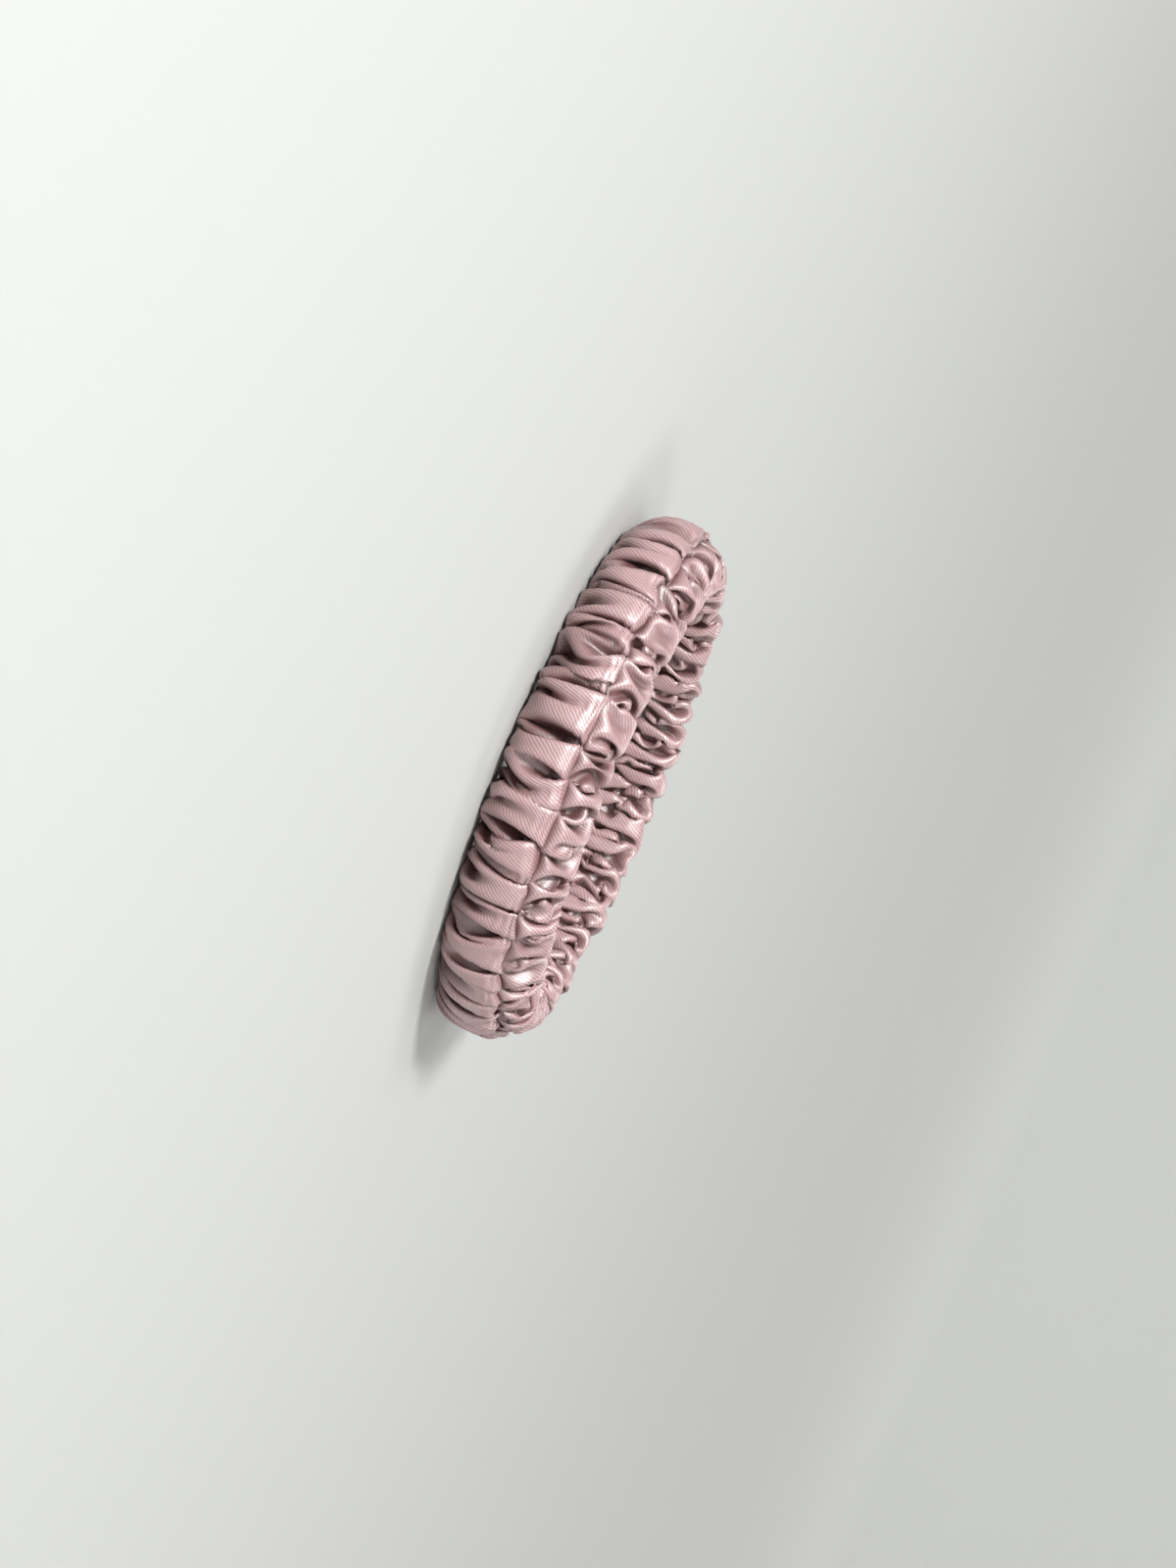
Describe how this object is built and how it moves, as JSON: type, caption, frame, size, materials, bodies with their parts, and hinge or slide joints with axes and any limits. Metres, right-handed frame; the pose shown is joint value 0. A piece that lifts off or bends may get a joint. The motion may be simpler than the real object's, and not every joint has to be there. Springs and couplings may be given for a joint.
{
  "type": "gathered satin hair tie",
  "caption": "Slim ruched satin sleeve gathered on a hidden flat elastic loop, held at worn size and able to stretch open.",
  "frame": {"origin": "middle of the loop, on the plane of the edge it lies on", "axes": "+Z along the axis of the opening, up from the resting edge; +X along the loop's longer side; +Y along its shorter side, from the near half to the far half that holds the closing seam"},
  "size_m": [0.069, 0.0565, 0.013],
  "materials": {
    "satin": "satin weave, soft sheen, dusty mauve pink",
    "thread": "spun polyester sewing thread, matched mauve",
    "elastic": "braided covered elastic, matt off-white"
  },
  "bodies": {
    "near_half": {"sleeve_near_half": "satin", "seam_needle_thread_near_half": "thread", "seam_bobbin_thread_near_half": "thread", "elastic_near_half": "elastic"},
    "far_half": {"sleeve_far_half": "satin", "seam_needle_thread_far_half": "thread", "seam_bobbin_thread_far_half": "thread", "closing_seam_thread": "thread", "elastic_far_half": "elastic", "elastic_lap_end": "elastic", "elastic_join_thread": "thread"}
  },
  "joints": [
    {"name": "stretch", "type": "slide", "parent": "near_half", "child": "far_half", "axis": [0, 1, 0], "range_m": [0, 0.05], "stiffness_N_per_m": 150}
  ]
}
